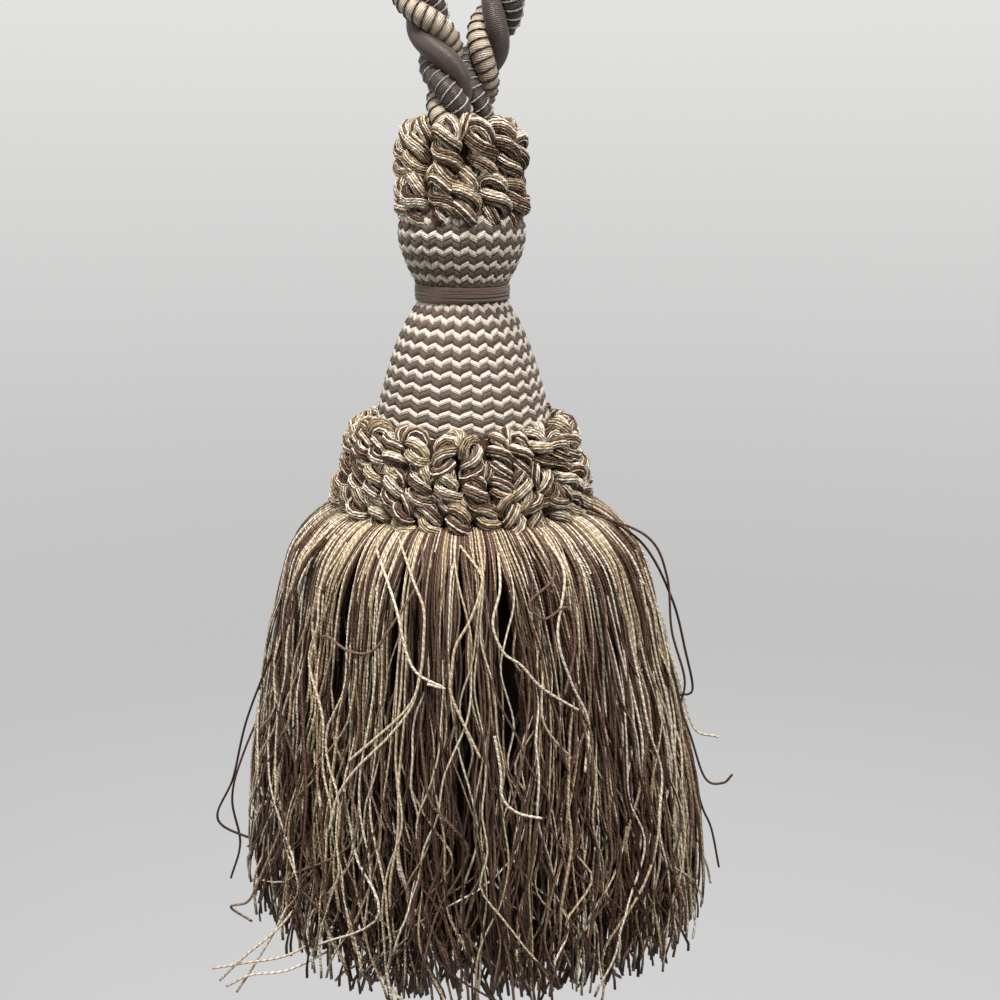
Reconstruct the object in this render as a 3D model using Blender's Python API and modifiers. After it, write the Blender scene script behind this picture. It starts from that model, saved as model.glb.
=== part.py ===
"""A curtain tieback tassel hanging by its rope loop.

Run with: blender --background --python part.py

Metres, +Z up, facing -Y. The origin is the seat of the hook, under the rope at the top of the loop.
Heights in the tables are taken from the top of the head, downwards negative, and are moved down by
HEAD_TOP when a piece is made.
"""

import math

import bmesh
import bpy
from mathutils import Vector

MM = 0.001
GAP = 0.3 * MM

# Driving sizes.
ROPE_DIAMETER = 14 * MM
LOOP_HEIGHT = 245 * MM
SEAT_HEIGHT = LOOP_HEIGHT - ROPE_DIAMETER
HEAD_TOP = -SEAT_HEIGHT
NECK_RADIUS = 13.5 * MM
CORD_BULGE = 2.2 * MM
UPPER_RUFF_CORDS = 12
LOWER_RUFF_CORDS = 22
SKIRT_LOCKS = 14

ROPE_POINTS = 56
ROPE_SIDES_RESOLUTION = 2
TURNED_STEPS = 28
SAMPLES_PER_CORD = 4

# The rope's route: columns are x, y and height above the head's top, in mm. The left arm passes in
# front of the right one where they go into the head.
ROPE_ROUTE = (
    (-2.9, -6.6, -18),
    (-2.9, -6.6, -6),
    (-3.1, -6.6, 4),
    (-5.6, -6.3, 15),
    (-12.0, -5.2, 31),
    (-23.5, -3.6, 58),
    (-35.0, -2.2, 92),
    (-43.5, -1.0, 128),
    (-47.0, -0.4, 164),
    (-42.5, 0.0, 201),
    (-26.5, 0.0, 230),
    (0.0, 0.0, 238),
    (26.0, 0.0, 230.5),
    (42.0, 0.2, 202),
    (46.5, 0.8, 165),
    (43.5, 2.0, 128),
    (35.5, 3.4, 92),
    (24.0, 4.8, 58),
    (12.2, 6.0, 31),
    (6.2, 6.6, 15),
    (3.3, 6.8, 4),
    (3.1, 6.8, -6),
    (3.1, 6.8, -18),
)

# The braided cover over the turned mould: columns are radius and height, in mm.
MOULD_PROFILE = (
    (0.0, -19.0),
    (12.6, -19.2),
    (15.4, -21.5),
    (17.6, -26.0),
    (18.9, -31.5),
    (19.1, -36.0),
    (18.3, -41.0),
    (16.6, -45.7),
    (14.6, -49.6),
    (13.5, -52.0),
    (13.4, -56.0),
    (14.4, -58.0),
    (16.6, -61.5),
    (19.4, -67.0),
    (21.8, -73.5),
    (23.9, -80.0),
    (25.7, -87.0),
    (27.1, -94.0),
    (28.1, -102.0),
    (28.3, -109.0),
    (27.0, -112.5),
    (0.0, -113.0),
)

# The ruffs: columns are radius and height of the section, in mm, and the share of the cords' bulge
# that shows there. The first points run down the outside, the last ones up the inside.
UPPER_RUFF_SECTION = (
    (15.6, 0.2, 0.5),
    (18.0, -2.0, 1.0),
    (18.6, -7.0, 1.0),
    (18.5, -12.5, 0.8),
    (18.2, -15.5, 0.4),
    (18.7, -19.0, 1.0),
    (18.6, -25.0, 1.0),
    (19.6, -29.5, 0.5),
    (19.7, -31.2, 0.0),
    (19.4, -31.8, 0.0),
    (18.9, -27.8, 0.0),
    (17.4, -22.6, 0.0),
    (15.6, -19.0, 0.0),
    (14.8, -10.0, 0.0),
    (14.7, -1.6, 0.0),
)
LOWER_RUFF_SECTION = (
    (28.2, -88.6, 0.4),
    (31.6, -89.0, 1.0),
    (34.6, -92.0, 1.0),
    (36.4, -97.0, 1.0),
    (37.2, -101.0, 0.6),
    (38.4, -105.5, 1.0),
    (39.4, -110.5, 1.0),
    (39.6, -115.0, 1.0),
    (38.0, -118.8, 0.8),
    (34.8, -120.2, 0.3),
    (30.2, -118.6, 0.0),
    (28.9, -113.2, 0.0),
    (28.7, -108.0, 0.0),
    (28.6, -102.0, 0.0),
    (27.6, -94.0, 0.0),
    (27.0, -90.6, 0.0),
)

# The skirt of cut yarn: columns are outside radius, inside radius and height, in mm. Rows below
# SKIRT_ROOT_ROW are slit into locks.
SKIRT_ROWS = (
    (28.0, 9.0, -114.2),
    (29.4, 9.5, -121.0),
    (44.0, 10.0, -122.8),
    (52.0, 10.5, -129.5),
    (57.6, 11.0, -139.5),
    (62.4, 12.0, -156.0),
    (67.4, 13.0, -178.0),
    (71.8, 14.0, -202.0),
    (74.4, 15.0, -226.0),
    (74.6, 16.0, -246.0),
    (73.4, 16.5, -257.0),
)
SKIRT_ROOT_ROW = 4
# Where one lock's edges and ridges lie, as shares of the way to the next; the last share is its slit.
LOCK_SHARES = (0.0, 0.22, 0.45, 0.68, 0.9)


def clear_scene():
    for old in list(bpy.data.objects):
        bpy.data.objects.remove(old)


def finish_material(name, colour, roughness):
    material = bpy.data.materials.new(name)
    material.use_nodes = True
    surface = material.node_tree.nodes["Principled BSDF"]
    surface.inputs["Base Color"].default_value = (*colour, 1)
    surface.inputs["Roughness"].default_value = roughness
    surface.inputs["Metallic"].default_value = 0
    return material


def add_object(name, data, collection, material):
    made = bpy.data.objects.new(name, data)
    collection.objects.link(made)
    made.data.materials.append(material)
    return made


def mesh_of(bm, name):
    bmesh.ops.recalc_face_normals(bm, faces=bm.faces)
    mesh = bpy.data.meshes.new(name)
    bm.to_mesh(mesh)
    bm.free()
    mesh.shade_smooth()
    return mesh


def around(angle, radius, height):
    """A point on a ring. Angle 0 is at the front, and grows towards +X."""
    return Vector((radius * math.sin(angle), -radius * math.cos(angle), height + HEAD_TOP))


def smooth_through(points, count):
    """Points evenly spread along a Catmull-Rom curve through the given ones."""
    ends = [2 * points[0] - points[1], *points, 2 * points[-1] - points[-2]]
    fine = []
    steps = 24
    for i in range(1, len(ends) - 2):
        a, b, c, d = ends[i - 1 : i + 3]
        for k in range(steps):
            t = k / steps
            fine.append(
                0.5 * (2 * b + (c - a) * t + (2 * a - 5 * b + 4 * c - d) * t**2
                       + (3 * b - a - 3 * c + d) * t**3)
            )
    fine.append(points[-1])
    along = [0.0]
    for a, b in zip(fine, fine[1:]):
        along.append(along[-1] + (b - a).length)
    spread, i = [], 0
    for k in range(count):
        want = along[-1] * k / (count - 1)
        while i < len(fine) - 2 and along[i + 1] < want:
            i += 1
        share = (want - along[i]) / (along[i + 1] - along[i])
        spread.append(fine[i].lerp(fine[i + 1], min(share, 1.0)))
    return spread


def rope_loop(collection, material):
    """One length of three-strand rope, out of the head, round the hook and back into it."""
    route = [Vector((x * MM, y * MM, h * MM + HEAD_TOP)) for x, y, h in ROPE_ROUTE]
    points = smooth_through(route, ROPE_POINTS)
    curve = bpy.data.curves.new("rope_loop", "CURVE")
    curve.dimensions = "3D"
    curve.bevel_depth = ROPE_DIAMETER / 2
    curve.bevel_resolution = ROPE_SIDES_RESOLUTION
    curve.use_fill_caps = True
    spline = curve.splines.new("POLY")
    spline.points.add(len(points) - 1)
    for point, place in zip(spline.points, points):
        point.co = (*place, 1)
    return add_object("rope_loop", curve, collection, material)


def turned(name, profile, collection, material):
    """A turned shape: the profile runs from top to bottom and is screwed about Z."""
    mesh = bpy.data.meshes.new(name)
    points = [(r * MM, 0, h * MM + HEAD_TOP) for r, h in profile]
    mesh.from_pydata(points, [(i, i + 1) for i in range(len(points) - 1)], [])
    made = add_object(name, mesh, collection, material)
    screw = made.modifiers.new("turn", "SCREW")
    screw.steps = screw.render_steps = TURNED_STEPS
    screw.use_merge_vertices = True
    screw.merge_threshold = 0.00005
    screw.use_smooth_shade = True
    return made


def neck_binding(collection, material):
    """The thread wound round the neck, as one ring with the swell of its turns."""
    inner = (NECK_RADIUS + GAP) / MM + 0.1
    top, bottom, swell = -51.9, -56.4, 0.55
    section = [(inner + 0.55, top - 0.15)]
    for k in range(1, 6):
        share = k / 6
        section.append((inner + 0.5 + swell * math.sin(math.pi * share), top + (bottom - top) * share))
    section.append((inner + 0.75, bottom + 0.1))
    section += [(inner + 0.3, bottom + 0.3), (inner - 0.1, -54.0), (inner + 0.15, top - 0.5)]
    bm = bmesh.new()
    rings = []
    for i in range(TURNED_STEPS):
        angle = 2 * math.pi * i / TURNED_STEPS
        rings.append([bm.verts.new(around(angle, r * MM, h * MM)) for r, h in section])
    close_rings(bm, rings)
    return add_object("neck_binding", mesh_of(bm, "neck_binding"), collection, material)


def close_rings(bm, rings):
    """Joins closed sections, each beside the next, all the way round."""
    for i, ring in enumerate(rings):
        after = rings[(i + 1) % len(rings)]
        for k in range(len(ring)):
            n = (k + 1) % len(ring)
            bm.faces.new((ring[k], ring[n], after[n], after[k]))


def ruff(name, section, cords, lean, collection, material):
    """A ring of short twisted cords side by side, as one solid with a lobe for each cord.

    lean is how far, in cords, a cord moves round between the ruff's top and its bottom.
    """
    count = cords * SAMPLES_PER_CORD
    top, bottom = section[0][1], min(h for _, h, _ in section)
    bm = bmesh.new()
    rings = []
    for i in range(count):
        angle = 2 * math.pi * i / count
        ring = []
        for r, h, share in section:
            turn = cords * angle + 2 * math.pi * lean * (h - top) / (bottom - top)
            lobe = 0.5 + 0.5 * math.cos(turn)
            uneven = 0.35 * math.sin(3 * angle + 1.1) + 0.3 * math.sin(5 * angle + 0.12 * h)
            swell = share * (CORD_BULGE / MM * lobe + uneven)
            ring.append(bm.verts.new(around(angle, (r + swell) * MM, h * MM)))
        rings.append(ring)
    close_rings(bm, rings)
    return add_object(name, mesh_of(bm, name), collection, material)


def skirt_point(row, cell, inner):
    """A point of the skirt's wall: locks differ a little in reach and length, as cut yarn does."""
    outside, inside, height = SKIRT_ROWS[row]
    lock, ridge = divmod(cell, len(LOCK_SHARES))
    angle = 2 * math.pi * (lock + LOCK_SHARES[ridge]) / SKIRT_LOCKS
    low = row / (len(SKIRT_ROWS) - 1)
    crown = 1.4 * math.sin(math.pi * LOCK_SHARES[ridge] / LOCK_SHARES[-1]) * low
    reach = (1.2 * math.sin(2.3 * lock + 0.4) + 0.7 * math.sin(4.1 * lock)) * low**2 + crown
    longer = 2.4 * math.sin(1.7 * lock + 0.9) * low**3
    radius = inside if inner else outside + reach
    return around(angle, radius * MM, (height + longer) * MM)


def skirt(collection, material):
    """The cut fringe as one comb round the ruff: a bell that is slit into locks below its root."""
    ridges = len(LOCK_SHARES)
    cells = SKIRT_LOCKS * ridges
    rows = len(SKIRT_ROWS)
    bm = bmesh.new()
    outer, inner = [
        [[bm.verts.new(skirt_point(j, i, side)) for j in range(rows)] for i in range(cells)]
        for side in (False, True)
    ]

    def is_yarn(i, j):
        slit = i % ridges == ridges - 1
        return 0 <= j < rows - 1 and (j < SKIRT_ROOT_ROW or not slit)

    for i in range(cells):
        n = (i + 1) % cells
        for j in range(rows - 1):
            if not is_yarn(i, j):
                continue
            bm.faces.new((outer[i][j], outer[i][j + 1], outer[n][j + 1], outer[n][j]))
            bm.faces.new((inner[i][j], inner[n][j], inner[n][j + 1], inner[i][j + 1]))
            if not is_yarn(i, j - 1):
                bm.faces.new((outer[i][j], outer[n][j], inner[n][j], inner[i][j]))
            if not is_yarn(i, j + 1):
                bm.faces.new((outer[i][j + 1], inner[i][j + 1], inner[n][j + 1], outer[n][j + 1]))
            if not is_yarn((i - 1) % cells, j):
                bm.faces.new((outer[i][j], inner[i][j], inner[i][j + 1], outer[i][j + 1]))
            if not is_yarn(n, j):
                bm.faces.new((outer[n][j], outer[n][j + 1], inner[n][j + 1], inner[n][j]))
    return add_object("skirt", mesh_of(bm, "skirt"), collection, material)


def build_tassel():
    clear_scene()
    collection = bpy.data.collections.new("curtain_tieback_tassel")
    bpy.context.scene.collection.children.link(collection)
    rope_yarn = finish_material("rope_yarn", (0.16, 0.12, 0.10), 0.6)
    braid_yarn = finish_material("braid_yarn", (0.33, 0.28, 0.22), 0.75)
    binding_thread = finish_material("binding_thread", (0.14, 0.10, 0.08), 0.55)
    ruff_yarn = finish_material("ruff_yarn", (0.34, 0.25, 0.17), 0.7)
    skirt_yarn = finish_material("skirt_yarn", (0.24, 0.17, 0.11), 0.7)

    rope_loop(collection, rope_yarn)
    turned("braided_mould", MOULD_PROFILE, collection, braid_yarn)
    neck_binding(collection, binding_thread)
    ruff("upper_ruff", UPPER_RUFF_SECTION, UPPER_RUFF_CORDS, 0.3, collection, ruff_yarn)
    ruff("lower_ruff", LOWER_RUFF_SECTION, LOWER_RUFF_CORDS, 0.9, collection, ruff_yarn)
    skirt(collection, skirt_yarn)


build_tassel()
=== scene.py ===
import math

import bpy
import numpy as np
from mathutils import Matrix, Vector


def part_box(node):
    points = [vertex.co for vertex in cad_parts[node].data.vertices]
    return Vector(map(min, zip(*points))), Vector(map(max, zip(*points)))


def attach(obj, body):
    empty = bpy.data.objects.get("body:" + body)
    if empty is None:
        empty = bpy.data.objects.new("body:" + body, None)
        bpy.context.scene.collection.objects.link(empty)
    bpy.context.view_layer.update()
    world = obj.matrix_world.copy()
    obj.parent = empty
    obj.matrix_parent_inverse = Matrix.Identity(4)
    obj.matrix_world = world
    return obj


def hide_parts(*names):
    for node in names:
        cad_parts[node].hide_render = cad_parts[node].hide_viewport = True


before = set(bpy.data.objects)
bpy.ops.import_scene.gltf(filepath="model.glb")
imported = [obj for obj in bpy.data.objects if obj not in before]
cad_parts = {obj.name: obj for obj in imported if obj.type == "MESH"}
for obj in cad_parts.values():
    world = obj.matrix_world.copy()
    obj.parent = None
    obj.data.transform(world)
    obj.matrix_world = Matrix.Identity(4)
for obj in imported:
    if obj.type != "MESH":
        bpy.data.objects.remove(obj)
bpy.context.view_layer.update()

mm = 0.001
turn = 2 * math.pi
rng = np.random.default_rng(26)

# the rope's cut ends sit 18 mm under the head's top
headTop = round(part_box("rope_loop")[0][2] + 18 * mm, 5)


def unit(vectors):
    return vectors / np.linalg.norm(vectors, axis=-1, keepdims=True)


def smoothThrough(points, count):
    # evenly spread points along a Catmull-Rom curve
    points = np.asarray(points, float)
    ends = np.vstack([2 * points[0] - points[1], points, 2 * points[-1] - points[-2]])
    t = np.linspace(0, 1, 24, endpoint=False)[:, None]
    fine = []
    for a, b, c, d in zip(ends, ends[1:], ends[2:], ends[3:]):
        second, third = 2 * a - 5 * b + 4 * c - d, 3 * b - a - 3 * c + d
        fine.append(0.5 * (2 * b + (c - a) * t + second * t**2 + third * t**3))
    fine = np.vstack(fine + [points[-1:]])
    along = np.concatenate([[0], np.cumsum(np.linalg.norm(np.diff(fine, axis=0), axis=1))])
    want = np.linspace(0, along[-1], count)
    return np.stack([np.interp(want, along, fine[:, k]) for k in range(fine.shape[1])], axis=1)


def lengthsOf(paths):
    steps = np.linalg.norm(np.diff(paths, axis=1), axis=2)
    return np.concatenate([np.zeros((len(paths), 1)), np.cumsum(steps, axis=1)], axis=1)


def framesOf(paths):
    # a normal and a binormal carried along each path without twisting
    tangent = unit(np.gradient(paths, axis=1))
    side = np.where(np.abs(tangent[:, :1, 2:]) < 0.9, [0.0, 0.0, 1.0], [0.0, -1.0, 0.0])[:, 0]
    normal = np.empty_like(paths)
    for i in range(paths.shape[1]):
        across = side - np.sum(side * tangent[:, i], axis=1, keepdims=True) * tangent[:, i]
        side = unit(across)
        normal[:, i] = side
    return normal, np.cross(tangent, normal)


def woundAbout(paths, radius, turns):
    # turns is how far round each point lies; less along the path gives a left-hand lay
    normal, binormal = framesOf(paths)
    angle = turn * np.broadcast_to(turns, paths.shape[:2])[..., None]
    return paths + radius * (np.cos(angle) * normal + np.sin(angle) * binormal)


def ringsRound(paths, radius, sides):
    normal, binormal = framesOf(paths)
    angle = turn * np.arange(sides) / sides
    radius = np.broadcast_to(radius, paths.shape[:2])[..., None, None]
    spokes = (
        np.cos(angle)[:, None] * normal[:, :, None]
        + np.sin(angle)[:, None] * binormal[:, :, None]
    )
    return paths[:, :, None] + radius * spokes


def addPiece(name, corners, faces, faceSizes, maps, tones, material):
    mesh = bpy.data.meshes.new(name)
    mesh.vertices.add(len(corners))
    mesh.vertices.foreach_set("co", np.ascontiguousarray(corners, np.float32).ravel())
    mesh.loops.add(len(faces))
    mesh.polygons.add(len(faceSizes))
    starts = np.concatenate([[0], np.cumsum(faceSizes)[:-1]]).astype(np.int32)
    mesh.polygons.foreach_set("loop_start", starts)
    mesh.polygons.foreach_set("vertices", faces.astype(np.int32))
    for mapName, places in maps.items():
        layer = mesh.uv_layers.new(name=mapName)
        layer.data.foreach_set("uv", np.ascontiguousarray(places, np.float32).ravel())
    tone = mesh.attributes.new("tone", "FLOAT", "POINT")
    tone.data.foreach_set("value", np.ascontiguousarray(tones, np.float32))
    mesh.update(calc_edges=True)
    mesh.validate()
    mesh.shade_smooth()
    mesh.materials.append(material)
    piece = bpy.data.objects.new(name, mesh)
    bpy.context.scene.collection.objects.link(piece)
    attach(piece, "root")
    return piece


def cellsFor(count, tall):
    # columns and rows of a sheet of like cells, each `tall` times as high as wide
    columns = max(1, math.ceil(math.sqrt(count * tall)))
    return columns, max(1, math.ceil(count / columns))


def gridPiece(name, grids, material, tones, wrapped, v, tall):
    # grids holds one patch or tube for each row: [which, along, across, xyz]
    count, n, m, _ = grids.shape
    which = np.arange(count)[:, None, None]
    i = np.arange(n - 1)[None, :, None]
    k = np.arange(m if wrapped else m - 1)[None, None, :]

    def corner(i, k):
        return (which * n + i) * m + k % m

    quads = np.stack([corner(i, k), corner(i, k + 1), corner(i + 1, k + 1), corner(i + 1, k)], axis=-1)
    across = m if wrapped else m - 1
    u = np.stack([k, k + 1, k + 1, k], axis=-1) / across
    u = np.broadcast_to(u, quads.shape)
    ends = np.stack([i, i, i + 1, i + 1], axis=-1)
    ends = np.broadcast_to(ends, quads.shape)
    shade = np.stack([u, v[np.broadcast_to(which[..., None], quads.shape), ends]], axis=-1)
    columns, rows = cellsFor(count, tall)
    cellX = (which % columns)[..., None]
    cellY = (which // columns)[..., None]
    bake = np.stack(
        [(cellX + 0.06 + 0.88 * u) / columns, (cellY + 0.01 + 0.98 * ends / (n - 1)) / rows], axis=-1
    )
    faces, sizes = quads.reshape(-1), np.full(quads[..., 0].size, 4)
    shade, bake = shade.reshape(-1, 2), bake.reshape(-1, 2)
    if wrapped:
        first = (np.arange(count)[:, None] * n) * m + np.arange(m)[::-1]
        last = (np.arange(count)[:, None] * n + n - 1) * m + np.arange(m)
        caps = np.concatenate([first, last])
        faces = np.concatenate([faces, caps.reshape(-1)])
        sizes = np.concatenate([sizes, np.full(len(caps), m)])
        capShade = np.stack([np.full(caps.shape, 0.5), np.zeros(caps.shape)], axis=-1).reshape(-1, 2)
        rim = turn * np.arange(m) / m
        tip = np.stack([0.5 + 0.3 * np.cos(rim), 0.002 + 0.002 * np.sin(rim)], axis=-1)
        where = np.stack([np.arange(count) % columns, np.arange(count) // columns], axis=-1)[:, None]
        capBake = np.concatenate([where + tip, where + tip + [0, 0.992]]) / [columns, rows]
        shade = np.concatenate([shade, capShade])
        bake = np.concatenate([bake, capBake.reshape(-1, 2)])
    tones = np.broadcast_to(np.reshape(tones, (count, 1)), (count, n * m)).reshape(-1)
    maps = {"yarn": shade, "OFBake": bake}
    return addPiece(name, grids.reshape(-1, 3), faces, sizes, maps, tones, material)


def yarnPiece(name, paths, radius, sides, tones, material):
    # tubes along the paths; the map's v is the length in millimetres
    along = lengthsOf(paths) / mm
    grids = ringsRound(paths, radius, sides)
    tall = along[:, -1].mean() / (turn * np.mean(radius) / mm)
    return gridPiece(name, grids, material, tones, True, along, 1 / tall if tall < 1 else tall)


def turnedPiece(name, outline, steps, material):
    # a plain turned bed under the yarn; the outline's columns are radius and height
    angle = turn * np.arange(steps + 1) / steps
    r, h = outline[:, 0][:, None], outline[:, 1][:, None]
    parts = np.broadcast_arrays(r * np.sin(angle), -r * np.cos(angle), h)
    grid = np.stack(parts, axis=-1)
    along = lengthsOf(grid[None, :, 0]) / mm
    return gridPiece(name, grid[None, :, ::-1], material, [0.1], False, along, 1)


def onRing(angle, radius, height):
    # angle 0 is the front, growing towards +X; heights are below the head's top
    x, y = radius * np.sin(angle), -radius * np.cos(angle)
    return np.stack(np.broadcast_arrays(x, y, height + headTop), axis=-1)


class Value:
    # a socket that takes part in sums
    def __init__(self, tree, socket):
        self.tree, self.socket = tree, socket

    def maths(self, operation, first, second=0.0):
        made = self.tree.nodes.new("ShaderNodeMath")
        made.operation = operation
        for slot, value in zip(made.inputs, (first, second)):
            plug(self.tree, slot, value)
        return Value(self.tree, made.outputs[0])

    def __add__(self, other):
        return self.maths("ADD", self, other)

    def __sub__(self, other):
        return self.maths("SUBTRACT", self, other)

    def __rsub__(self, other):
        return self.maths("SUBTRACT", other, self)

    def __mul__(self, other):
        return self.maths("MULTIPLY", self, other)

    def __pow__(self, other):
        return self.maths("POWER", self, other)

    __radd__ = __add__
    __rmul__ = __mul__

    def sine(self):
        return self.maths("SINE", self)

    def size(self):
        return self.maths("ABSOLUTE", self)

    def above(self, edge):
        return self.maths("GREATER_THAN", self, edge)

    def part(self):
        return self.maths("FRACT", self)


def plug(tree, slot, value):
    if isinstance(value, Value):
        tree.links.new(value.socket, slot)
    elif isinstance(value, tuple) and len(value) == 3 and slot.type == "RGBA":
        slot.default_value = (*value, 1)
    else:
        slot.default_value = value


class Finish:
    def __init__(self, name):
        self.material = bpy.data.materials.new(name)
        self.material.use_nodes = True
        self.tree = self.material.node_tree
        self.tree.nodes.clear()

    def add(self, kind, settings=None, sockets=None, output=0):
        made = self.tree.nodes.new(kind)
        for name, value in (settings or {}).items():
            if name == "stops":
                ramp = made.color_ramp
                while len(ramp.elements) < len(value):
                    ramp.elements.new(0.5)
                for stop, (place, colour) in zip(ramp.elements, value):
                    stop.position = place
                    stop.color = (*colour, 1)
            else:
                setattr(made, name, value)
        for name, value in (sockets or {}).items():
            plug(self.tree, made.inputs[name], value)
        return Value(self.tree, made.outputs[output] if len(made.outputs) else None)

    def mix(self, share, first, second, blend="MIX"):
        settings = {"data_type": "RGBA", "blend_type": blend, "clamp_factor": True}
        return self.add("ShaderNodeMix", settings, {0: share, 6: first, 7: second}, 2)

    def uv(self):
        where = self.add("ShaderNodeUVMap", {"uv_map": "yarn"})
        return [self.add("ShaderNodeSeparateXYZ", None, {"Vector": where}, k) for k in (0, 1)]

    def tone(self):
        return self.add("ShaderNodeAttribute", {"attribute_name": "tone"}, None, 2)

    def close(self, colour, roughness, height, depth, extras):
        sockets = {"Base Color": colour, "Roughness": roughness, **extras}
        if height is not None:
            sockets["Normal"] = self.add("ShaderNodeBump", None, {"Height": height, "Distance": depth})
        surface = self.add("ShaderNodeBsdfPrincipled", None, sockets)
        self.add("ShaderNodeOutputMaterial", None, {"Surface": surface})
        return self.material


def spunFinish(name, look):
    # plied yarn: plies lie across the thread as slanted ridges, each with its own colour
    make = Finish(name)
    u, v = make.uv()
    tone = make.tone()
    slant = u * look["plies"] + v * (look["plies"] / look["pitch"])
    ridge = (slant * math.pi).sine().size()
    ply = (slant * 0.5 + tone * 3.7).part().above(0.5)
    first = make.add("ShaderNodeValToRGB", {"stops": look["colours"]}, {0: tone})
    other = make.mix(look["marl"], first, look["shadow"])
    where = make.add("ShaderNodeCombineXYZ", None, {"X": u * 5.0, "Y": v * look["fibre"], "Z": tone * 40.0})
    fibre = make.add("ShaderNodeTexNoise", None, {"Vector": where, "Scale": 1.0, "Detail": 2.0})
    base = make.mix(ply, first, other)
    groove = (1 - ridge) ** 2
    base = make.mix(groove * look["groove"], base, look["shadow"])
    base = make.mix((fibre - 0.35) * 0.9, base, look["glint"], "SOFT_LIGHT")
    height = ridge + fibre * 0.35
    roughness = look["roughness"] + (fibre - 0.5) * 0.2
    extras = {"Sheen Weight": look["sheen"], "Sheen Roughness": 0.4, "Specular IOR Level": look["shine"]}
    return make.close(base, roughness, height, look["relief"] * mm, extras)


cream = (0.88, 0.76, 0.60)
gold = (0.62, 0.48, 0.29)
taupe = (0.22, 0.14, 0.09)
mauve = (0.125, 0.062, 0.045)
brown = (0.080, 0.040, 0.022)
coal = (0.022, 0.009, 0.004)

ruffYarn = {
    "plies": 2,
    "pitch": 3.4,
    "marl": 0.45,
    "fibre": 2.2,
    "groove": 0.25,
    "shadow": coal,
    "glint": (1.0, 0.95, 0.85),
    "roughness": 0.55,
    "sheen": 0.03,
    "shine": 0.22,
    "relief": 0.12,
    "colours": [(0.0, brown), (0.2, mauve), (0.38, taupe), (0.55, gold), (0.72, cream), (1.0, cream)],
}
skirtYarn = {
    **ruffYarn,
    "pitch": 2.2,
    "marl": 0.4,
    "colours": [(0.0, coal), (0.18, brown), (0.36, mauve), (0.55, taupe), (0.78, gold), (1.0, cream)],
}


def shadedFinish():
    # the yarn deep inside, which only shows as dark streaks
    make = Finish("shadedYarn")
    u, v = make.uv()
    where = make.add("ShaderNodeCombineXYZ", None, {"X": u * 220.0, "Y": v * 0.06, "Z": 0.0})
    streak = make.add("ShaderNodeTexNoise", None, {"Vector": where, "Scale": 1.0, "Detail": 2.0})
    return make.close(make.mix(streak, coal, brown), 0.8, None, 0, {"Specular IOR Level": 0.1})


rope = {
    "diameter": 14 * mm,
    "strandRadius": 3.35 * mm,
    "strandCentre": 3.62 * mm,
    "lay": 33.2 * mm,
    "rings": 480,
    "sides": 16,
    "wrapPitch": 2.5,
    "wrapRadius": 0.4 * mm,
    "wrapProud": 0.12 * mm,
    "wrapPoints": 3000,
    "start": 0.01,
    # for each strand: name, finish, colour, painted shade between its threads, threads in a mm, its wrap's
    # colour
    "strands": [
        ("rope_satin", "satinTaupe", (0.105, 0.075, 0.063), (0.028, 0.019, 0.015), 2.2, None),
        ("rope_cream", "creamGimp", (0.70, 0.57, 0.42), (0.15, 0.10, 0.065), 1.9, (0.05, 0.038, 0.03)),
        ("rope_dark", "darkGimp", (0.09, 0.062, 0.050), (0.02, 0.013, 0.010), 1.9, (0.66, 0.60, 0.54)),
    ],
    # x, y and height above the head's top, in mm
    "route": [
        (-2.9, -6.6, -18),
        (-2.9, -6.6, -6),
        (-3.1, -6.6, 4),
        (-5.6, -6.3, 15),
        (-12.0, -5.2, 31),
        (-23.5, -3.6, 58),
        (-35.0, -2.2, 92),
        (-43.5, -1.0, 128),
        (-47.0, -0.4, 164),
        (-42.5, 0.0, 201),
        (-26.5, 0.0, 230),
        (0.0, 0.0, 238),
        (26.0, 0.0, 230.5),
        (42.0, 0.2, 202),
        (46.5, 0.8, 165),
        (43.5, 2.0, 128),
        (35.5, 3.4, 92),
        (24.0, 4.8, 58),
        (12.2, 6.0, 31),
        (6.2, 6.6, 15),
        (3.3, 6.8, 4),
        (3.1, 6.8, -6),
        (3.1, 6.8, -18),
    ],
}


def satinFinish(name, colour, dark, lines, shine, wrapEvery=0.0):
    # fine threads laid side by side round a strand, drawn in where a wrap crosses; the grooves between
    # threads and the sides of each wrap get painted shade in the dark colour
    make = Finish(name)
    u, v = make.uv()
    where = make.add("ShaderNodeCombineXYZ", None, {"X": u * 6.0, "Y": v * 1.2, "Z": 0.0})
    patch = make.add("ShaderNodeTexNoise", None, {"Vector": where, "Scale": 1.0, "Detail": 3.0})
    thread = ((v * lines + u) * math.pi).sine().size()
    # painted shade in the grooves between the threads
    base = make.mix(thread**0.6, dark, colour)
    base = make.mix((patch - 0.4) * 0.8, base, dark)
    roughness = 0.42 + (patch - 0.5) * 0.25
    extras = {"Sheen Weight": 0.1, "Specular IOR Level": shine}
    height = thread + patch * 0.4
    if wrapEvery:
        # painted shade beside each wrap, where it draws the strand in
        puff = (((v * (1 / wrapEvery) - u) * math.pi).sine().size()) ** 0.5
        base = make.mix(puff, dark, base)
        height = height + puff * 4.0
    return make.close(base, roughness, height, 0.12 * mm, extras)


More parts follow.
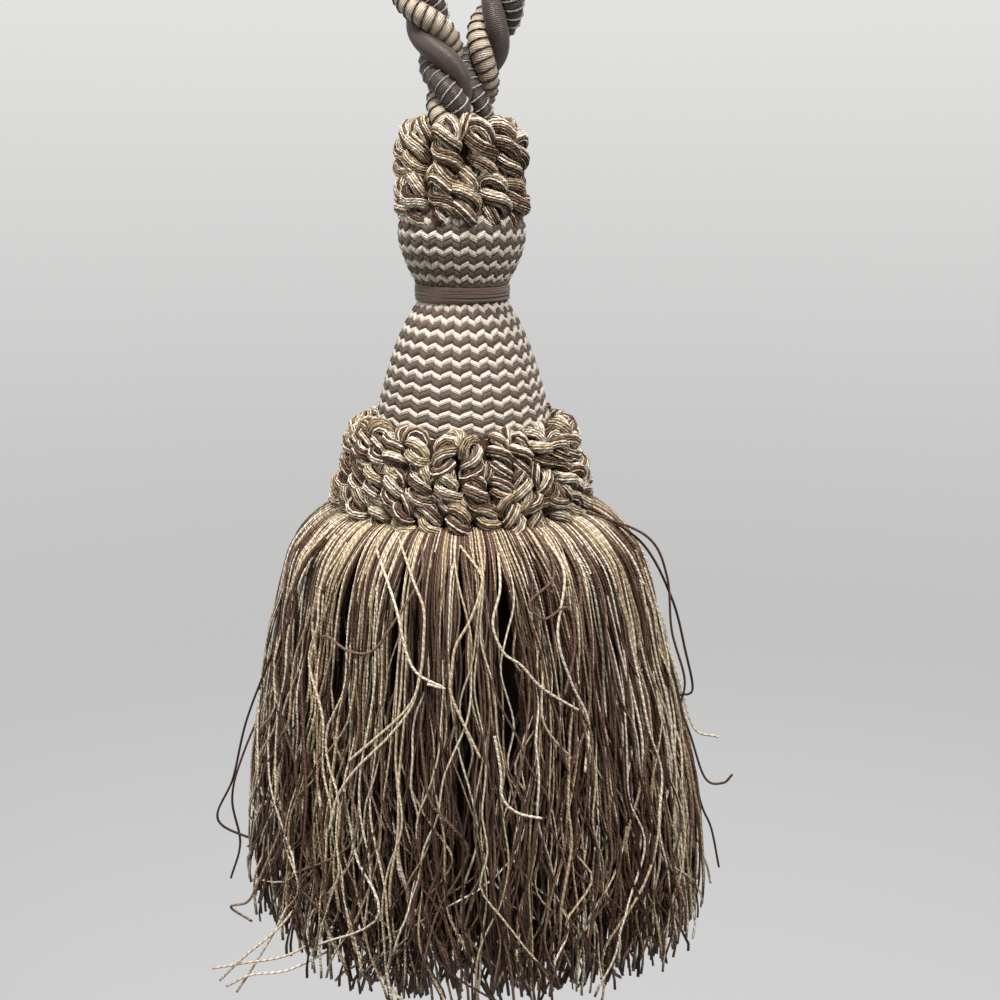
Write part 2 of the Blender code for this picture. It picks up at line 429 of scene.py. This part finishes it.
def ropeStrands():
    route = np.array(rope["route"]) * mm + [0, 0, headTop]
    centre = smoothThrough(route, rope["rings"])[None]
    along = lengthsOf(centre)
    pieces = []
    for k, (name, finishName, colour, dark, lines, wrapColour) in enumerate(rope["strands"]):
        wrapEvery = rope["wrapPitch"] if wrapColour else 0.0
        finish = satinFinish(finishName, colour, dark, lines, 0.35, wrapEvery)
        turns = -along / rope["lay"] + k / 3 + rope["start"]
        strand = woundAbout(centre, rope["strandCentre"], turns)
        pieces.append(yarnPiece(name, strand, rope["strandRadius"], rope["sides"], [0.5], finish))
        if wrapColour:
            dense = smoothThrough(strand[0], rope["wrapPoints"])[None]
            turns = lengthsOf(dense) / (rope["wrapPitch"] * mm)
            thread = woundAbout(dense, rope["strandRadius"] + rope["wrapProud"], turns)
            finish = satinFinish(name + "Thread", wrapColour, coal, 4.0, 0.4)
            pieces.append(yarnPiece(name + "_thread", thread, rope["wrapRadius"], 3, [0.5], finish))
    return centre[0], pieces


def joinPieces(name, pieces):
    # one object from several, each part keeping its own finish
    with bpy.context.temp_override(active_object=pieces[0], selected_editable_objects=pieces):
        bpy.ops.object.join()
    pieces[0].name = name
    return pieces[0]


centreLine, strands = ropeStrands()
ropePiece = joinPieces("rope", strands)
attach(ropePiece, "root")
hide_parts("rope_loop")
[tuple(p) for p in centreLine[::7]] + [tuple(centreLine[-1])]
print("rope laid", len(ropePiece.data.polygons), "faces")


braid = {
    "columns": 48,
    "rise": 1.2 * mm,
    "proud": 0.72 * mm,
    # the row that this height falls on, and how far above it the cover starts
    "firstRow": 35.7 * mm,
    "above": 9.0 * mm,
    "wide": 1.1,
    # radius and height of the cover's bed, in mm
    "outline": [
        (11.0, -25.5),
        (14.5, -27.4),
        (17.0, -29.8),
        (18.4, -33.0),
        (18.8, -36.4),
        (18.0, -41.0),
        (16.2, -45.7),
        (14.2, -49.6),
        (13.1, -52.0),
        (13.0, -56.0),
        (14.0, -58.0),
        (16.2, -61.5),
        (18.9, -67.0),
        (21.3, -73.5),
        (23.4, -80.0),
        (25.2, -87.0),
        (26.6, -94.0),
        (27.4, -101.0),
        (27.6, -108.0),
    ],
    # vertical pitch of one cream and one brown row, by height: closer where the cover widens
    "pitchAt": [(-18, 4.5), (-50, 4.5), (-62, 4.4), (-80, 3.9), (-108, 3.4)],
    "pale": (0.89, 0.80, 0.68),
    "paleShadow": (0.30, 0.23, 0.165),
    "deep": (0.15, 0.105, 0.075),
    "deepShadow": (0.036, 0.021, 0.012),
}


def braidFinish():
    make = Finish("braidYarn")
    u, v = make.uv()
    tone = make.tone()
    where = make.add("ShaderNodeCombineXYZ", None, {"X": u * 7.0, "Y": v, "Z": tone * 91.0})
    fibre = make.add("ShaderNodeTexNoise", None, {"Vector": where, "Scale": 1.0, "Detail": 3.0})
    thread = ((u * 4.0 + fibre * 0.9) * math.pi).sine().size()
    isPale = tone.above(0.5)
    light = make.mix(isPale, braid["deep"], braid["pale"])
    shadow = make.mix(isPale, braid["deepShadow"], braid["paleShadow"])
    rim = (u * 2.0 - 1.0).size() ** 3
    base = make.mix(thread**0.5, shadow, light)
    base = make.mix((fibre - 0.45) * 0.9, base, shadow)
    base = make.mix(rim * 0.75, base, shadow)
    extras = {"Sheen Weight": 0.05, "Specular IOR Level": 0.3}
    return make.close(base, 0.45 + fibre * 0.2, thread + fibre * 0.6, 0.16 * mm, extras)


def braidCover():
    outline = smoothThrough(np.array(braid["outline"]) * mm, 240)
    along = lengthsOf(outline[None])[0]
    slope = unit(np.gradient(outline, axis=0))
    outward = np.stack([-slope[:, 1], slope[:, 0]], axis=1)
    heights, pitches = np.array(braid["pitchAt"]).T
    rows = [np.interp(braid["firstRow"], -outline[:, 1], along) - braid["above"]]
    while rows[-1] < along[-1] - 2 * mm:
        height = np.interp(rows[-1], along, outline[:, 1]) / mm
        rows.append(rows[-1] + np.interp(-height, -heights, pitches) * mm / 2)
    rows = np.array(rows)
    columns = braid["columns"]
    j, k = np.meshgrid(np.arange(len(rows)), np.arange(columns), indexing="ij")
    j, k = j.ravel(), k.ravel()
    rising = np.where(k % 2 == 0, 1.0, -1.0)
    half = np.gradient(rows)[j]
    a = np.linspace(-1, 1, 7)[None, :, None]
    b = np.linspace(-1, 1, 5)[None, None, :]
    jitter = rng.normal(0, 1, (3, len(j)))[:, :, None, None]
    angle = turn * (k[:, None, None] + 0.5) / columns
    width = np.where(rising > 0, 1.2, 1.08)[:, None, None] * braid["wide"]
    angle = angle + a * width * turn / columns / 2 + 0.03 * jitter[0] * turn / columns
    body = np.sqrt(np.clip(1 - np.abs(a) ** 3.5, 0, 1))
    up = rising[:, None, None] * a * width * braid["rise"] / 2
    half = half[:, None, None]
    step = np.where(rising > 0, 0.0, 0.3)[:, None, None] * half * (1 + 0.8 * np.sin(angle))
    tall = b * half * 0.56 * (0.35 + 0.65 * body)
    s = np.clip(rows[j][:, None, None] - up + step + tall + 0.05 * mm * jitter[1], 0, along[-1])
    swell = np.sqrt(np.clip(1 - b**2, 0, 1)) * body
    prouder = np.where(rising > 0, 1.15, 0.85)[:, None, None]
    lift = braid["proud"] * (swell * prouder * (1 + 0.06 * jitter[2]) - 0.12)
    r = np.interp(s, along, outline[:, 0]) + lift * np.interp(s, along, outward[:, 0])
    h = np.interp(s, along, outline[:, 1]) + lift * np.interp(s, along, outward[:, 1])
    grids = onRing(angle, r, h)
    pale = j % 2 == 0
    tones = np.where(pale, 0.75, 0.25) + rng.uniform(-0.2, 0.2, len(j))
    v = np.broadcast_to(np.linspace(0, 3.2, 7), (len(j), 7))
    finish = braidFinish()
    cover = gridPiece("braid_cover", grids, finish, tones, False, v, 1.0)
    return cover, turnedPiece("braid_bed", outline[::6] + [0, headTop], 64, finish)


cover, coverBed = braidCover()
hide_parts("braided_mould")
print("braid worked", len(cover.data.polygons), "faces")


binding = {
    "turns": 11,
    "top": -51.0 * mm,
    "bottom": -56.0 * mm,
    "radius": 13.75 * mm,
    "thread": 0.34 * mm,
    # for each thread: where it starts, how far it wanders and how far it lies out, in mm
    "threads": [(0.0, 0.22, 0.0), (0.45, 0.5, 0.4)],
    "colour": (0.2, 0.118, 0.084),
    "shadow": (0.05, 0.032, 0.026),
}


def neckBinding():
    finish = satinFinish("boundThread", binding["colour"], binding["shadow"], 3.0, 0.5)
    t = np.linspace(0, 1, binding["turns"] * 44)
    paths = []
    for start, stray, out in binding["threads"]:
        angle = turn * (binding["turns"] * t + start)
        down = t if start == 0 else 0.06 + 0.88 * t
        height = binding["top"] + (binding["bottom"] - binding["top"]) * down
        height = height + stray * mm * np.sin(angle * 0.37 + 2.0) * np.sin(angle + 0.6)
        swell = 0.2 * mm * np.sin(math.pi * t)
        paths.append(onRing(angle, binding["radius"] + out * mm + swell, height))
    return yarnPiece("neck_winding", np.array(paths), binding["thread"], 6, [0.3, 0.6], finish)


neck = neckBinding()
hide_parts("neck_binding")
print("neck bound")


upperRuff = {
    "threads": 15,
    "threadRadius": 0.4 * mm,
    "cordRadius": 1.8 * mm,
    "plyCentre": 2.6 * mm,
    "cordPitch": 10.2 * mm,
    "plyPitch": -40 * mm,
    "leftHand": 0.95,
    "rings": 60,
    "lean": (0.0, 0.2),
    "gape": 0.26,
    "uneven": 0.5,
    # for each tier: loops, how far it is turned, one leg's radius and height in mm from foot to crown
    "tiers": [
        (5, 0.0, [(13.0, -19.4), (15.9, -18.0), (16.5, -13.6), (15.9, -9.2), (14.0, -6.5), (12.0, -5.7)]),
        (6, 0.35, [(14.4, -30.8), (17.0, -29.2), (17.4, -25.6), (16.8, -22.0), (14.9, -19.6), (12.8, -19.0)]),
    ],
    "bed": [(12.6, -5.0), (13.2, -8.0), (13.6, -12.0), (14.0, -24.0), (16.0, -29.0), (16.0, -30.0)],
}
lowerRuff = {
    "threads": 11,
    "threadRadius": 0.4 * mm,
    "cordRadius": 1.4 * mm,
    "plyCentre": 2.2 * mm,
    "cordPitch": 8.4 * mm,
    "plyPitch": -36 * mm,
    "leftHand": 0.92,
    "rings": 42,
    "lean": (0.0, 0.35),
    "gape": 0.25,
    "uneven": 0.6,
    "tiers": [
        (14, 0.0, [(30.8, -105.6), (33.2, -104.2), (34.4, -100.2), (32.8, -96.4), (30.4, -94.7)]),
        (14, 0.5, [(32.8, -114.8), (35.6, -113.4), (36.6, -109.2), (35.2, -105.4), (32.8, -103.8)]),
        (14, 0.22, [(34.6, -121.4), (37.2, -120.9), (38.4, -117.4), (37.6, -113.6), (35.0, -111.6)]),
    ],
    "bed": [(27.8, -94.6), (29.6, -96.0), (31.0, -99.0), (32.4, -104.0), (34.0, -112.0), (29.6, -120.0)],
}


# share of the threads, and the lowest and highest tone in it
ruffShares = [
    (0.4, 0.62, 1.0),
    (0.22, 0.45, 0.62),
    (0.18, 0.3, 0.45),
    (0.12, 0.12, 0.3),
    (0.08, 0.0, 0.1),
]


def loopedCords(look):
    # each cord runs up one leg, over a crown and down the other
    cords = []
    loops = [(turn / count, i + start, leg) for count, start, leg in look["tiers"] for i in range(count)]
    for pace, where, leg in loops:
        centre = pace * (where + rng.uniform(-0.08, 0.08))
        lean = rng.uniform(*look["lean"]) * pace
        lift = rng.uniform(-1.0, 0.8)
        tuck = rng.uniform(0.0, 1.0)
        places = []
        for side in (-1, 1):
            ups = np.linspace(0, 1, len(leg))[::-side]
            for (radius, height), up in zip(leg[::-side], ups):
                spread = look["gape"] * pace * (1 if up < 0.86 else 0.7)
                angle = centre + side * spread + lean * (0.5 - up)
                angle = angle + 0.05 * look["uneven"] * pace * rng.normal()
                radius = radius + 0.7 * look["uneven"] * rng.normal() - (tuck if side > 0 else 0)
                height = height + lift * up + 0.5 * look["uneven"] * rng.normal()
                places.append(onRing(angle, radius * mm, height * mm))
        cords.append(smoothThrough(np.array(places), look["rings"]))
    return np.array(cords)


def bundled(cords, look):
    # two plies wound about each other, each a bundle of threads laid the other way
    along = lengthsOf(cords)
    hand = np.where(rng.uniform(size=len(cords)) < look["leftHand"], -1.0, 1.0)[:, None]
    phase = rng.uniform(size=(len(cords), 1))
    threads = []
    for p in (0, 0.5):
        core = woundAbout(cords, look["plyCentre"], phase + p + hand * along / look["cordPitch"])
        for k in range(look["threads"]):
            lay = k / look["threads"] - hand * along / look["plyPitch"]
            threads.append(woundAbout(core, look["cordRadius"], lay))
    return np.concatenate(threads)


def mixedTones(count, shares):
    # one tone for each thread, drawn from (share, low, high) rows
    weights = np.array([row[0] for row in shares])
    pick = rng.choice(len(shares), count, p=weights / weights.sum())
    low, high = (np.array([row[c] for row in shares])[pick] for c in (1, 2))
    return low + (high - low) * rng.uniform(size=count)


def ruffPieces(name, look, finish):
    threads = bundled(loopedCords(look), look)
    tones = mixedTones(len(threads), ruffShares)
    front = threads[:, threads.shape[1] // 4, 1] < 0
    for half, chosen in (("front", front), ("back", ~front)):
        paths = threads[chosen]
        yarnPiece(f"{name}_{half}", paths, look["threadRadius"], 3, tones[chosen], finish)
    bed = np.array(look["bed"]) * mm + [0, headTop]
    turnedPiece(f"{name}_bed", bed, 64, shaded)
    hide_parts(name)


shaded = shadedFinish()
ruffFinish = spunFinish("ruffYarn", ruffYarn)
ruffPieces("upper_ruff", upperRuff, ruffFinish)
ruffPieces("lower_ruff", lowerRuff, ruffFinish)
print("ruffs looped")


skirt = {
    "radius": 0.41 * mm,
    "locks": 58,
    "gathered": 0.45,
    "leans": 3.8 * mm,
    "spread": 0.075,
    "uneven": 0.075,
    # the place and width, in radians, of the thinner and more tangled part at the front left
    "thinAt": turn * 0.815,
    "thinWide": 0.3,
    # bends from side to side: how many, how wide in radians, and how late they grow
    "waves": [(4, 0.055, 1.0), (9, 0.022, 0.6), (14, 0.006, 0.5), (7, 0.04, 3.0)],
    # bends in and out: how many and how deep in mm
    "ripples": [(5, 1.6), (11, 0.6)],
    # strands, how far inside the outline in mm, thickness, rings, share of pale yarn, which falls off inwards
    # as painted shade inside the skirt
    "layers": [
        (680, 0.0, 1.0, 46, 0.5),
        (560, 3.0, 1.0, 37, 0.34),
        (420, 7.0, 1.15, 28, 0.15),
        (240, 16.0, 2.0, 20, 0.02),
        (110, 30.0, 3.0, 16, 0.0),
    ],
    # loose yarns away from the rest: tone, then x, y and height of each bend, in mm
    "strays": [
        (0.1, [(40, -12, -119), (56, -10, -131), (66, -6, -150),
               (71, -4, -168), (74, -2, -182), (70, -2, -184)]),
        (0.3, [(38, -16, -119), (57, -12, -128), (64, -8, -142),
               (66, -8, -160), (71, -5, -178), (69, -2, -190)]),
        (0.9, [(63, 10, -160), (70, 4, -180), (75, 0, -196), (83, -2, -198.5)]),
        (0.2, [(60, -20, -165), (71, -12, -190), (78, -8, -210), (84, -8, -212), (87, -8, -209)]),
        (0.1, [(60, -10, -170), (72, -6, -200), (78, -2, -222), (82, 0, -232), (85, 0, -246)]),
        (0.9, [(62, 14, -180), (72, 6, -210), (75, 4, -232), (81, 4, -246), (83, 4, -254)]),
        (0.2, [(-60, -12, -165), (-70, -8, -190), (-76, -4, -212), (-82, -2, -228), (-68, -4, -235)]),
        (0.9, [(-44, -40, -200), (-50, -48, -226), (-56, -50, -240), (-64, -50, -254), (-69, -50, -262)]),
        (0.6, [(-50, -44, -200), (-62, -44, -228), (-66, -42, -236), (-72, -38, -240), (-66, -36, -246)]),
        (0.3, [(-62, 4, -180), (-73, 0, -205), (-77, -2, -220), (-75, -2, -236), (-79, 0, -250)]),
        (0.9, [(-44, -50, -224), (-54, -52, -238), (-66, -52, -249), (-74, -50, -258)]),
        (0.85, [(-38, -54, -238), (-52, -54, -247), (-66, -52, -251), (-76, -50, -254)]),
        (0.95, [(-36, -55, -243), (-52, -54, -252), (-64, -52, -255), (-72, -50, -260)]),
    ],
    # loose yarns lying over the front: tone, then x and height of each bend, in mm
    "curls": [
        (0.8, [(0, -122), (6, -128), (6, -132), (3, -140), (-1, -147), (-2, -154), (-2, -161), (6, -178)]),
        (0.85, [(-18, -121), (-13, -130), (-10, -137), (-10, -145), (-11, -155), (-15, -165), (-32, -182)]),
        (0.9, [(-11, -155), (-13.5, -164), (-20, -173), (-30, -184), (-35.5, -193), (-38, -203)]),
        (0.95, [(-24.5, -124), (-18, -137), (-15, -149), (-11.5, -155), (-4, -158.5), (-9, -157.5)]),
        (0.5, [(-40, -149), (-38, -148.5), (-32, -151), (-25, -150), (-19, -142), (-11, -129), (-11, -122)]),
        (0.9, [(11, -124), (11.5, -132), (9.5, -141), (12.5, -149), (17.5, -153), (23.5, -160), (34, -168)]),
        (0.95, [(10, -172), (11.7, -182), (12.3, -189.5), (16.5, -194), (23.5, -196.5)]),
        (0.42, [(24, -121), (27, -130), (20, -136), (24, -141), (31, -139), (33, -150), (30, -163)]),
        (0.92, [(24, -121), (30, -130), (28, -146), (32, -160), (37, -172), (36, -186)]),
    ],
    # the outermost yarn's radius and height, in mm
    "outline": [
        (33.0, -118.4),
        (38.0, -119.2),
        (43.4, -121.2),
        (49.0, -125.8),
        (54.6, -133.5),
        (58.2, -146.0),
        (62.0, -164.0),
        (65.8, -183.0),
        (69.6, -204.0),
        (72.2, -226.0),
        (73.0, -244.0),
        (71.8, -257.0),
    ],
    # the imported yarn's dark middle, radius and height in mm
    "heart": [(28.0, -121.0), (38.0, -128.0), (44.0, -142.0), (49.0, -170.0), (52.0, -200.0), (52.0, -236.0)],
}


def wander(count, bends, t):
    # smooth random bending from side to side, one row for each strand
    knots = rng.normal(size=(count, bends))
    place = t * (bends - 1.001)
    before = place.astype(int)
    share = place - before
    share = share * share * (3 - 2 * share)
    return knots[:, before[0]] * (1 - share) + knots[:, before[0] + 1] * share


def fringeLayer(count, inset, rings):
    outline = smoothThrough(np.array(skirt["outline"]), 200)
    along = lengthsOf(outline[None])[0]
    t = np.linspace(0, 1, rings)[None]
    root = turn * (np.arange(count) + rng.uniform(-0.45, 0.45, count))[:, None] / count
    lockAngle = turn / skirt["locks"]
    lock = np.floor(root / lockAngle).astype(int)
    lockMiddle = (lock + 0.5) * lockAngle
    # the same draws for every layer, so that the locks run right through the skirt
    lockDraws = np.random.default_rng(3)
    sway, hang, fall, bend = lockDraws.normal(0, 1, (4, skirt["locks"] + 1))
    free = np.clip((t - 0.1) / 0.9, 0, 1)
    pull = skirt["gathered"] * np.sin(math.pi * free**0.8)
    thin = np.exp(-(((root - skirt["thinAt"]) / skirt["thinWide"]) ** 2))
    wild = np.where(rng.uniform(size=(count, 1)) < 0.34, 2.4, 1.0) * (1 + 0.7 * thin)
    drift = 0.05 * sway[lock] * free**1.2 + 0.03 * bend[lock] * np.sin(turn * 0.8 * free)
    sideways = sum(wide * wander(count, bends, t) * free**late for bends, wide, late in skirt["waves"])
    spread = skirt["spread"] * rng.normal(size=(count, 1)) * free**1.5
    angle = root + (lockMiddle - root) * pull + drift + wild * sideways + spread
    reach = 0.995 - skirt["uneven"] * np.abs(rng.normal(size=(count, 1))) + 0.018 * fall[lock]
    reach = reach - 0.03 * np.clip(-np.sin(root), 0, 1) - 0.16 * thin * rng.uniform(size=(count, 1))
    where = t * along[-1] * reach
    radius = np.interp(where, along, outline[:, 0])
    height = np.interp(where, along, outline[:, 1])
    crown = 1.6 * (1 - np.cos((root - lockMiddle) / lockAngle * turn)) * free
    ripple = sum(deep * wander(count, bends, t) for bends, deep in skirt["ripples"])
    ripple = ripple * wild * free**0.8
    inward = inset * (0.3 + 0.7 * t) + crown - ripple - 1.8 * hang[lock] * free**1.5
    height = height + 0.8 * wander(count, 6, t) * free
    places = onRing(angle, (radius - np.maximum(inward, -2.5)) * mm, (height - 0.25 * inset) * mm)
    places[..., 0] += skirt["leans"] * free
    return places


def overFront(bends):
    # the bends of a loose yarn, laid on the front of the skirt
    outline = smoothThrough(np.array(skirt["outline"]), 200)
    x, height = np.array(bends, float).T
    proud = np.where(height > -125, 0.2, 2.6)
    radius = np.interp(-height, -outline[:, 1], outline[:, 0]) + proud
    return np.stack([x, -np.sqrt(radius**2 - x**2), height], axis=1)


def hangSkirt():
    finish = spunFinish("skirtYarn", skirtYarn)
    for n, (count, inset, thick, rings, pale) in enumerate(skirt["layers"]):
        paths = fringeLayer(count, inset, rings)
        # deeper layers get fewer pale and more dark yarns: painted shade inside the skirt, over the yarn's
        # own mix of colours
        shares = [(pale * 0.45, 0.85, 1.0), (pale * 0.55, 0.6, 0.85), (0.25, 0.3, 0.55)]
        shares.append((0.75 - pale, 0.0, 0.32))
        tones = mixedTones(count, shares)
        radius = thick * skirt["radius"] * (1 + 0.12 * rng.normal(size=(count, 1))) * np.ones((1, rings))
        radius[:, -2:] *= 1.2
        piece = yarnPiece(f"skirt_yarn_{n + 1}", paths, radius, 3, tones, finish)
        if n == 0:
            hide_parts("skirt")
    loose = [(tone, np.array(bends, float)) for tone, bends in skirt["strays"]]
    loose += [(tone, overFront(bends)) for tone, bends in skirt["curls"]]
    paths = np.array([smoothThrough(bends * mm + [0, 0, headTop], 64) for _, bends in loose])
    tones = [tone for tone, _ in loose]
    yarnPiece("skirt_strays", paths, skirt["radius"], 6, tones, finish)
    heart = np.array(skirt["heart"]) * mm + [0, headTop]
    turnedPiece("skirt_heart", heart, 48, shaded)


hangSkirt()
print("skirt hung")


stage = {
    "floor": -0.95,
    "wide": 2.6,
    "bend": 1.1,
    "high": 2.4,
    "colour": (0.2, 0.2, 0.2),
    # painted light: the colour the backdrop glows with at the floor and higher up
    "low": (0.455, 0.452, 0.45),
    "tall": (0.86, 0.85, 0.838),
}


def paleStage():
    make = Finish("paleBackdrop")
    grain = make.add("ShaderNodeTexNoise", None, {"Scale": 3.0, "Detail": 2.0})
    place = make.add("ShaderNodeTexCoord", None, None, 3)
    height = make.add("ShaderNodeSeparateXYZ", None, {"Vector": place}, 2)
    span = {"Value": height, "From Min": stage["floor"], "From Max": 0.6}
    rise = make.add("ShaderNodeMapRange", None, span)
    base = make.mix(grain, stage["colour"], tuple(0.96 * c for c in stage["colour"]))
    # painted light: the backdrop glows, dimmer at the floor and brighter higher up
    light = make.mix(rise, stage["low"], stage["tall"])
    glow = {"Emission Color": light, "Emission Strength": 1.0, "Specular IOR Level": 0.1}
    finish = make.close(base, 0.9, None, 0, glow)
    bend = np.linspace(0, math.pi / 2, 16)
    inner = stage["wide"] - stage["bend"]
    outline = [(0.0, 0.0), (0.5, 0.0), (1.0, 0.0)]
    outline += [(inner + stage["bend"] * math.sin(a), stage["bend"] * (1 - math.cos(a))) for a in bend]
    outline += [(stage["wide"], stage["high"])]
    outline = np.array(outline) + [0, stage["floor"]]
    angle = turn * np.arange(97) / 96
    r, h = outline[:, 0][:, None], outline[:, 1][:, None]
    grid = np.stack(np.broadcast_arrays(r * np.sin(angle), -r * np.cos(angle), h), axis=-1)
    mesh = bpy.data.meshes.new("paleBackdrop")
    n, m = grid.shape[:2]
    starts = [i * m + k for i in range(n - 1) for k in range(m - 1)]
    faces = [(start, start + 1, start + m + 1, start + m) for start in starts]
    mesh.from_pydata(grid.reshape(-1, 3).tolist(), [], faces)
    mesh.shade_smooth()
    mesh.materials.append(finish)
    backdrop = bpy.data.objects.new("backdrop", mesh)
    backdrop.visible_diffuse = False
    bpy.context.scene.collection.objects.link(backdrop)


lamps = {
    # place, size and power of each soft lamp, all aimed at the middle of the tassel
    "key": ((0.55, -0.75, 0.85), 0.22, 15),
    "top": ((-0.2, -0.25, 0.95), 0.3, 14),
    "left": ((-1.1, -0.6, 0.25), 0.4, 5),
    "back": ((0.3, 1.1, 0.5), 0.6, 5),
}


def softLamps():
    middle = np.array([0, 0, headTop - 0.13])
    for name, (place, size, power) in lamps.items():
        light = bpy.data.lights.new(name, "AREA")
        light.shape = "DISK"
        light.size = size
        light.energy = power
        lamp = bpy.data.objects.new(name, light)
        bpy.context.scene.collection.objects.link(lamp)
        lamp.location = np.array(place) + [0, 0, headTop]
        aim = middle - np.array(lamp.location)
        flat = math.hypot(aim[0], aim[1])
        lamp.rotation_euler = (math.atan2(flat, -aim[2]), 0, math.atan2(-aim[0], aim[1]))
    world = bpy.data.worlds.new("paleRoom")
    world.use_nodes = True
    world.node_tree.nodes["Background"].inputs[0].default_value = (0.95, 0.97, 1.0, 1)
    world.node_tree.nodes["Background"].inputs[1].default_value = 0.12
    bpy.context.scene.world = world


def addCamera():
    # eye just under the head's top, looking a little down
    camera = bpy.data.objects.new("camera", bpy.data.cameras.new("camera"))
    bpy.context.scene.collection.objects.link(camera)
    camera.data.lens = 54
    camera.data.sensor_width = 36
    camera.location = (0.0115, -0.461, headTop - 0.0086)
    camera.rotation_euler = (math.radians(90 - 13.5), 0, 0)
    bpy.context.scene.camera = camera


paleStage()
softLamps()
addCamera()
bpy.context.scene.view_settings.view_transform = "Standard"
print("stage set")
